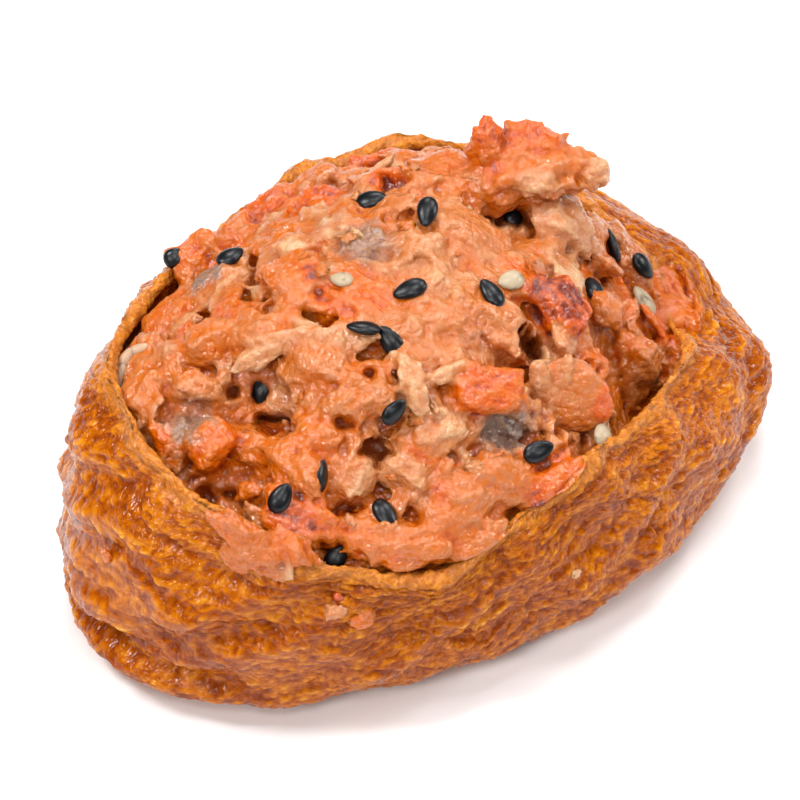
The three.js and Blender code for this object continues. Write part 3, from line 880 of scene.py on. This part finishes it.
flesh = {
    "foldRounds": 14,
    "toneRounds": 3,
    "foldShadeTone": 0.9,  # tone added per mm of fold: painted shade in folds, painted light on ridges
    "toneLimits": (-0.14, 0.2),
    "foldShade": 2.2,
    "darkDepth": 4.0,  # mm under the top at which the painted shade in a hollow is full
    "grainPull": 0.3,  # how far the grain is drawn out along a chunk
    "rough": {"mash": 0.15, "spill": 0.14},
}


# Which chunk each vertex belongs to, and its place along and across that chunk's grain
def findGrain(bm, chunks):
    tree = kdtree.KDTree(len(chunks.points))
    for index, (point, _) in enumerate(chunks.points):
        tree.insert(point, index)
    tree.balance()
    ownerLayer = bm.verts.layers.int.new("owner")
    grainLayer = bm.verts.layers.float_vector.new("grainPlace")
    for vert in bm.verts:
        owner = chunks.points[tree.find(vert.co)[1]][1]
        centre, unturn = chunks.frames[owner]
        local = unturn @ (vert.co - centre)
        vert[ownerLayer] = owner
        vert[grainLayer] = Vector((flesh["grainPull"] * local.x, local.y, local.z))


# The chunk and the photo's spots give the tone; folds and depth in the heap give painted shade in the
# hollows, and folds also shift the tone, redder in folds and paler on ridges, as painted shade and
# painted light
def colourFlesh(bm, chunks, depthOf, spots):
    ownerLayer = bm.verts.layers.int["owner"]
    toneLayer = bm.verts.layers.float.new("tone")
    murkLayer = bm.verts.layers.float.new("murk")
    hollowShadeLayer = bm.verts.layers.float.new("hollow")
    folds = foldDepths(bm, flesh["foldRounds"])
    near = [chunks.tones[vert[ownerLayer]] for vert in bm.verts]
    bm.verts.index_update()
    for _ in range(flesh["toneRounds"]):
        rings = [[edge.other_vert(vert).index for edge in vert.link_edges] for vert in bm.verts]
        near = [(near[i] + sum(near[j] for j in ring)) / (1 + len(ring)) for i, ring in enumerate(rings)]
    for vert, fold, tone in zip(bm.verts, folds, near):
        murk = 0.0
        for point, reach, spotTone, spotMurk in spots:
            away = (vert.co - point).length
            if away < 2 * reach:
                share = smooth(1.6 - 1.2 * away / reach + 0.5 * noise.noise(vert.co * 0.9))
                tone += (spotTone - tone) * share
                murk += (spotMurk - murk) * share
        # painted shade and light: folds push the tone redder and darker, ridges paler
        vert[toneLayer] = tone + clamp(flesh["foldShadeTone"] * fold, *flesh["toneLimits"])
        vert[murkLayer] = murk
        # painted shade: darker in folds and the deeper a point lies under the heap top
        deep = max(depthOf(vert.co), 0.0) / flesh["darkDepth"]
        vert[hollowShadeLayer] = smooth(max(flesh["foldShade"] * fold, 0.0) + deep)
    bm.verts.layers.int.remove(ownerLayer)


# Fine folds and fibres of the flesh, pushed along the normals
def roughenFlesh(bm, depth):
    smoothOnce(bm)
    bm.normal_update()
    grainLayer = bm.verts.layers.float_vector["grainPlace"]
    moves = []
    for vert in bm.verts:
        coarse = noise.fractal(vert.co * 0.8, 0.9, 2.0, 4)
        fibre = 1 - 2 * abs(noise.noise(vert[grainLayer] * 1.3))
        moves.append(vert.normal * depth * (coarse + 0.8 * fibre - 0.4))
    for vert, move in zip(bm.verts, moves):
        vert.co += move


# Inner radius of the pouch at a quarter degree and half a millimetre of height
@lru_cache(maxsize=None)
def innerRadius(quarter, level):
    angle = math.radians(quarter / 4)
    low, high = 0.0, 3.0
    for _ in range(14):
        middle = (low + high) / 2
        if wallPoint(angle, middle, pouch["wall"])[1] < level / 2:
            low = middle
        else:
            high = middle
    return wallPoint(angle, low, pouch["wall"])[0]


# Keep the filling inside the pouch below the rim and above the skin beside it
def keepClear(bm):
    gap = 0.15
    overRim = 1.15
    for vert in bm.verts:
        x, y, z = vert.co
        angle = math.atan2(y, x)
        top = rimTop(angle)
        if z > top + 0.9:
            continue
        radius = math.hypot(x, y)
        inner = innerRadius(quarterOf(angle), round(2 * z)) - gap
        if radius > inner:
            if z > top - 1.2 and radius > inner + 0.5:
                vert.co.z = max(z, top + overRim - 0.6 * max(0, radius - inner - 2))
            else:
                vert.co.x *= inner / radius
                vert.co.y *= inner / radius


# Axes along a slope of the picture, lying on a surface
def pictureAxes(normal, slope):
    lie = rightward * math.cos(math.radians(slope)) + upward * math.sin(math.radians(slope))
    along = (lie - normal * lie.dot(normal)).normalized()
    return Matrix((along, normal.cross(along), normal)).transposed()


def plannedChunks(coreTree):
    plans = []
    for pixel, size, slope, lift, tone, power in photoChunks:
        point, _ = castNear(pixel, coreTree)
        normal = heapNormal(point.x, point.y)
        centre = point + normal * (lift - size[2] / 2 + heap["coreSink"] + 0.3)
        ragged = 0.22 if power >= 3 else 0.4
        plans.append((tone, (centre, pictureAxes(normal, slope), size, ragged, 0.16, power, 0.0, 4)))
    while len(plans) < heap["fillers"]:
        angle = random.uniform(0, 2 * math.pi)
        radius = math.sqrt(random.random()) * 0.97 * heapEdge(angle)
        x, y = radius * math.cos(angle), radius * math.sin(angle)
        dips = 0.0
        for atX, atY, reach, by in heap["shape"]:
            if by < -2:
                dips += bell(math.hypot(x - atX, y - atY), reach * 0.8)
        if random.random() < 0.9 * min(dips, 1):
            continue
        normal = heapNormal(x, y)
        long = random.uniform(*heap["fillerLong"])
        wide = long * random.uniform(0.4, 0.75)
        thick = clamp(wide * random.uniform(0.3, 0.7), 0.8, 2.6)
        sink = random.uniform(-0.7, 0.9)
        centre = Vector((x, y, heapTop(x, y))) - normal * (thick / 2 + sink)
        tone = clamp(random.gauss(0.43, 0.19), 0.05, 0.86)
        axes = chunkAxes(normal, random.uniform(0, 360), 26)
        shape = (centre, axes, (long, wide, thick), 0.55, 0.1, 2.2, random.uniform(-0.25, 0.35))
        plans.append((tone, shape))
    return plans


# Chunks are built a few at a time, since operators slow down as a mesh grows
def scatterChunks(bm, chunks, coreTree):
    plans = plannedChunks(coreTree)
    for start in range(0, len(plans), 20):
        batch = bmesh.new()
        for tone, shape in plans[start:start + 20]:
            chunks.note(addChunk(batch, *shape), tone, shape[0], shape[1])
        mesh = meshOf("batch", batch)
        bm.from_mesh(mesh)
        bpy.data.meshes.remove(mesh)


def makeMash():
    bm = bmesh.new()
    addCore(bm, heap["coreSink"])
    coreTree = bvhtree.BVHTree.FromBMesh(bm)
    chunks = Chunks()
    chunks.note(bm.verts, 0.6, Vector(), Matrix.Identity(3))
    scatterChunks(bm, chunks, coreTree)
    print(f"chunks laid: {len(chunks.tones)}")
    bm = fused(bm, heap["voxel"])
    findGrain(bm, chunks)
    digHollows(bm, bvhtree.BVHTree.FromBMesh(bm))
    keepClear(bm)
    roughenFlesh(bm, flesh["rough"]["mash"])
    cutFloor(bm, heap["floor"] + 1.0)
    tree = bvhtree.BVHTree.FromBMesh(bm)
    spots = [(castNear(pixel, tree)[0], *rest) for pixel, *rest in toneSpots]
    colourFlesh(bm, chunks, lambda p: heapTop(p.x, p.y) - 1.4 - p.z, spots)
    addPiece("salmon_mash", bm, salmonMeat, "salmon", "salmon_heap")
    return tree


mashTree = makeMash()
print("mash made")


# Salmon over the torn front lip: pixel, size, slope, tone
spill = {
    "voxel": 0.24,
    "lift": 0.1,
    "shade": 0.7,
    "chunks": [
        ((240, 508), (5.4, 3.2, 2.4), 30, 0.3),
        ((236, 528), (4.2, 2.6, 1.6), -20, 0.62),
        ((250, 545), (4.6, 3.2, 1.6), -60, 0.56),
        ((266, 528), (6.0, 4.0, 2.2), -10, 0.64),
        ((272, 556), (4.0, 2.4, 1.3), -70, 0.5),
        ((287, 566), (2.6, 1.1, 1.0), -70, 0.16),
        ((290, 546), (5.0, 3.4, 2.2), -30, 0.62),
        ((312, 556), (4.8, 3.0, 2.0), -10, 0.7),
        ((231, 556), (2.6, 1.6, 1.1), -50, 0.56),
        ((246, 564), (2.2, 1.3, 1.0), 30, 0.66),
    ],
}


def makeSpill(tree):
    bm = bmesh.new()
    chunks = Chunks()
    for pixel, size, slope, tone in spill["chunks"]:
        point, normal = castNear(pixel, tree)
        lie = (normal + backward).normalized()
        axes = pictureAxes(lie, slope)
        centre = point + spill["lift"] * lie
        chunks.note(addChunk(bm, centre, axes, size, 0.5, 0.14, 2.2, 0.0, 4), tone, centre, axes)
    bm = fused(bm, spill["voxel"])
    findGrain(bm, chunks)
    roughenFlesh(bm, flesh["rough"]["spill"])
    colourFlesh(bm, chunks, lambda p: spill["shade"], [])
    addPiece("salmon_spill", bm, salmonMeat, "salmon")


# Lump that overhangs the back edge, and the pale flake at the front
lump = {
    "voxel": 0.26,
    "ragged": 0.42,
    "rough": 0.14,
    "parts": [  # x, y, z, size, turn, lean, tone
        (18.3, 3.2, 31.1, (11.0, 6.4, 5.2), -22, 8, 0.55),
        (15.9, 5.4, 33.7, (3.0, 2.4, 6.4), 20, -24, 0.88),
        (14.9, 5.5, 33.0, (2.4, 3.0, 5.0), 20, -24, 0.66),
        (19.6, 4.6, 32.7, (5.8, 4.2, 4.2), -40, 10, 0.8),
        (22.0, 0.8, 31.2, (5.6, 3.0, 3.2), -36, -18, 0.5),
        (22.9, -1.3, 31.2, (2.6, 2.6, 3.0), -30, -18, 0.3),
        (17.6, 1.2, 31.6, (4.4, 2.4, 2.8), -30, 30, 0.26),
        (20.6, 1.0, 30.0, (5.0, 2.6, 2.8), -30, -10, 0.6),
        (15.4, 3.6, 30.8, (4.2, 3.2, 3.2), 30, 20, 0.6),
    ],
}
flake = {
    "voxel": 0.2,
    "ragged": 0.24,
    "rough": 0.03,
    "parts": [
        (7.0, -17.2, 24.2, (6.9, 1.8, 6.4), -34, -30, 0.5),
        (5.0, -15.2, 26.6, (1.8, 0.9, 3.4), -24, -30, 0.3),
        (7.3, -16.3, 26.8, (1.1, 0.8, 3.0), -50, -40, 0.3),
        (5.2, -16.2, 23.8, (3.6, 1.6, 5.4), -34, -30, 0.36),
        (9.2, -18.6, 23.4, (2.6, 1.9, 4.2), -34, -30, 0.92),
    ],
}


def makeClump(name, plan, material, slotName, node):
    bm = bmesh.new()
    chunks = Chunks()
    for x, y, z, size, turn, lean, tone in plan["parts"]:
        axes = turned3(turn, "Z") @ turned3(lean, "X")
        centre = Vector((x, y, z))
        made = addChunk(bm, centre, axes, size, plan["ragged"], 0.1, 2.4, 0.0, 4)
        chunks.note(made, tone, centre, axes)
    bm = fused(bm, plan["voxel"])
    findGrain(bm, chunks)
    roughenFlesh(bm, plan["rough"])
    colourFlesh(bm, chunks, lambda p: 0.0, [])
    addPiece(name, bm, material, slotName, node)


makeSpill(pouchTree)
makeClump("salmon_lump", lump, salmonMeat, "salmon", "salmon_top_lump")
makeClump("salmon_slice", flake, paleSalmon, "salmon_pale", "salmon_flake")
print("lump and flake made")


# Sesame, laid where each seed is in the photo, its long axis along the slope seen there
sesame = {
    "size": Vector((3.15, 1.95, 1.05)),
    "taper": 0.2,
    "black": [  # pixel, slope, roll, length, lift
        ((231, 259), 60, 10, 0.95, 0.3),
        ((372, 202), 4, 15, 0.95, 0.3),
        ((427, 213), 262, 0, 1.0, 0.3),
        ((410, 291), 205, 0, 1.05, 0.3),
        ((363, 329), 176, 40, 1.0, 0.3),
        ((391, 341), 125, 0, 1.05, 0.3),
        ((491, 294), 122, 12, 1.0, 0.3),
        ((592, 290), 95, 0, 0.8, 0.3),
        ((609, 247), 107, 65, 1.1, 0.9),
        ((641, 267), 325, 5, 0.95, 0.3),
        ((392, 410), 50, 20, 0.9, 1.0),
        ((257, 390), 262, 40, 0.9, 0.9),
        ((538, 452), 25, 10, 0.95, 0.9),
        ((320, 477), 75, 45, 1.0, 0.3),
        ((281, 498), 60, 10, 0.95, 0.3),
        ((385, 516), 297, 0, 1.05, 0.3),
        ((336, 557), 50, 0, 0.85, 0.3),
        ((512, 216), 110, 20, 0.9, 0.3),
        ((174, 257), 30, 30, 0.7, -0.2),
    ],
    "white": [
        ((510, 282), 205, 0, 0.85, 0.3),
        ((342, 281), 165, 30, 0.7, 0.3),
        ((642, 302), 125, 0, 1.05, 0.3),
        ((590, 441), 90, 0, 0.75, 2.0),
    ],
}


def addSeed(bm, point, normal, slope, roll, long, size, taper, lift):
    made = bmesh.ops.create_uvsphere(bm, u_segments=20, v_segments=14, radius=1.0)
    lie = rightward * math.cos(math.radians(slope)) + upward * math.sin(math.radians(slope))
    along = (lie - normal * lie.dot(normal)).normalized()
    side = normal.cross(along)
    axes = Matrix((along, side, normal)).transposed() @ turned3(roll, "X")
    for vert in made["verts"]:
        d = vert.co.copy()
        d = Vector((d.z, d.x, d.y))  # poles at the ends
        narrow = 1 - taper * d.x - 0.05 * d.x * d.x
        local = Vector((d.x * size.x / 2 * long, d.y * narrow * size.y / 2, d.z * narrow * size.z / 2))
        vert.co = point + normal * lift + axes @ local


def makeSeeds(name, seeds, material, slotName):
    bm = bmesh.new()
    for pixel, slope, roll, long, lift in seeds:
        point, normal = castNear(pixel, mashTree)
        normal = (normal + heapNormal(point.x, point.y) + 0.6 * backward).normalized()
        addSeed(bm, point, normal, slope, roll, long, sesame["size"], sesame["taper"], lift)
    bmesh.ops.recalc_face_normals(bm, faces=bm.faces)
    addPiece(name, bm, material, slotName)


makeSeeds("sesame_dark", sesame["black"], blackSeed, "sesame_black")
makeSeeds("sesame_light", sesame["white"], whiteSeed, "sesame_white")
print("seeds laid")


# Rice: the bed and mound, with grains where they show
rice = {
    "floor": 2.4,
    "around": 96,
    "rings": [  # rise up the wall, depth from the outside, level where it is flat on top
        (0, 2.0, None), (0.9, 2.6, None), (1.3, 2.6, None), (1.7, 2.6, None),
        (2.0, 2.6, 9.0), (2.0, 2.6, 9.0), (0, 2.0, 9.0),
    ],
    "mound": {"at": Vector((-18.4, 11.9, 13.4)), "size": (10.0, 6.4, 15.4), "turn": 57},
    "grainSize": Vector((5.2, 2.3, 2.0)),
    "grains": 26,
    "shown": [((125, 360), 60), ((139, 350), 20), ((121, 376), 80)],
}


def makeRice():
    bm = bmesh.new()
    spinLine(bm, len(rice["rings"]), rice["around"])
    for vert in bm.verts:
        angle = math.atan2(vert.co.y, vert.co.x)
        step = round(vert.co.z)
        rise, depth, level = rice["rings"][step]
        radius, height = wallPoint(angle, rise, depth)
        if level:
            height = level
        if rise == 0:
            radius = 0.0
        vert.co = around(angle, radius, max(height, rice["floor"]))
    closeUp(bm)
    mound = rice["mound"]
    axes = turned3(mound["turn"], "Z")
    addChunk(bm, mound["at"], axes, mound["size"], 0.1, 0.0)
    for i in range(rice["grains"]):
        turn = random.uniform(0, 2 * math.pi)
        share = math.sqrt(random.random())
        spread = axes @ Vector((4.0 * share * math.cos(turn), 2.4 * share * math.sin(turn), 0))
        fall = 7.4 * math.sqrt(max(0.0, 1 - 0.8 * share * share))
        point = mound["at"] + spread + Vector((0, 0, fall))
        lean = Vector((random.uniform(-0.4, 0.4), random.uniform(-0.4, 0.4), 1)).normalized()
        addSeed(bm, point, lean, random.uniform(0, 360), 0, 1.0, rice["grainSize"], 0.1, 0.0)
    for pixel, slope in rice["shown"]:
        point, _ = castNear(pixel, mashTree)
        addSeed(bm, point, backward, slope, 0, 1.0, 0.5 * rice["grainSize"], 0.1, -0.1)
    addPiece("rice", bm, cookedRice, "rice", "rice_bed")


makeRice()
print("rice made")


# Shreds lying loose on the salmon and crumbs on the skin
shreds = {
    "count": 30,
    "castFrom": 60.0,
    "long": (0.8, 1.8),
    "crumbs": [  # pixel, size, slope, tone
        ((108, 555), (1.8, 1.2, 0.7), 60, 0.6),
        ((337, 597), (1.0, 0.8, 0.6), 0, 0.86),
        ((335, 611), (1.9, 1.4, 0.7), 10, 0.26),
        ((361, 619), (2.7, 1.6, 0.9), 20, 0.6),
        ((575, 573), (1.0, 0.8, 0.6), 0, 0.0),
    ],
}


def makeShreds():
    bm = bmesh.new()
    toneLayer = bm.verts.layers.float.new("tone")
    bm.verts.layers.float.new("murk")
    bm.verts.layers.float.new("hollow")
    made = 0
    while made < shreds["count"]:
        angle = random.uniform(0, 2 * math.pi)
        radius = math.sqrt(random.random()) * 0.95 * heapEdge(angle)
        above = around(angle, radius, shreds["castFrom"])
        point, normal, _, _ = mashTree.ray_cast(above, Vector((0, 0, -1)))
        if not point:
            continue
        made += 1
        long = random.uniform(*shreds["long"])
        size = (long, long * random.uniform(0.5, 0.8), random.uniform(0.4, 0.6))
        axes = chunkAxes(normal, random.uniform(0, 360), 20)
        tone = clamp(random.gauss(0.4, 0.16), 0.05, 0.8)
        for vert in addChunk(bm, point + normal * 0.05, axes, size, 0.7, 0.0, 2.0, 0.3):
            vert[toneLayer] = tone
    for pixel, size, slope, tone in shreds["crumbs"]:
        point, normal = castNear(pixel, pouchTree)
        axes = pictureAxes(normal, slope)
        for vert in addChunk(bm, point + 0.15 * normal, axes, size, 0.5, 0.0, 2.4):
            vert[toneLayer] = tone
    addPiece("salmon_shreds", bm, salmonMeat, "salmon")


makeShreds()
print("shreds laid")


# Stage: white floor, a faint white world, and small lamps that the wet surfaces mirror
stage = {
    "floorSide": 1.2,
    "world": 0.12,
    "lights": [  # place, size, watts
        {"name": "key", "at": (-0.26, 0.16, 0.50), "size": 0.16, "power": 2.1},
        {"name": "fill", "at": (0.34, 0.02, 0.46), "size": 0.16, "power": 1.0},
        {"name": "top", "at": (0.02, -0.04, 0.58), "size": 0.16, "power": 0.9},
        {"name": "back", "at": (0.24, 0.32, 0.44), "size": 0.16, "power": 0.9},
        {"name": "high", "at": (-0.20, -0.26, 0.50), "size": 0.14, "power": 0.8},
        {"name": "left", "at": (-0.42, -0.14, 0.34), "size": 0.13, "power": 0.8},
        {"name": "front", "at": (-0.06, -0.46, 0.34), "size": 0.12, "power": 0.5},
        {"name": "side", "at": (0.42, -0.22, 0.30), "size": 0.14, "power": 1.0},
    ],
}


def makeStage():
    bm = bmesh.new()
    bmesh.ops.create_grid(bm, x_segments=1, y_segments=1, size=stage["floorSide"])
    mesh = meshOf("floor", bm)
    floor = placed("floor", mesh)
    f = Finish("floor")
    mesh.materials.append(f.surface({"Base Color": (0.93, 0.93, 0.93, 1.0), "Roughness": 0.6}))
    for light in stage["lights"]:
        data = bpy.data.lights.new(light["name"], "AREA")
        data.shape = "DISK"
        data.size = light["size"]
        data.energy = light["power"]
        lamp = placed(light["name"], data)
        lamp.location = light["at"]
        lamp.rotation_mode = "QUATERNION"
        lamp.rotation_quaternion = (-Vector(light["at"])).to_track_quat("-Z", "Y")
    world = bpy.data.worlds.new("studio")
    world.use_nodes = True
    world.node_tree.nodes["Background"].inputs["Color"].default_value = (1.0, 1.0, 1.0, 1.0)
    world.node_tree.nodes["Background"].inputs["Strength"].default_value = stage["world"]
    bpy.context.scene.world = world
    bpy.context.scene.view_settings.view_transform = "Standard"


makeStage()
print("stage set")
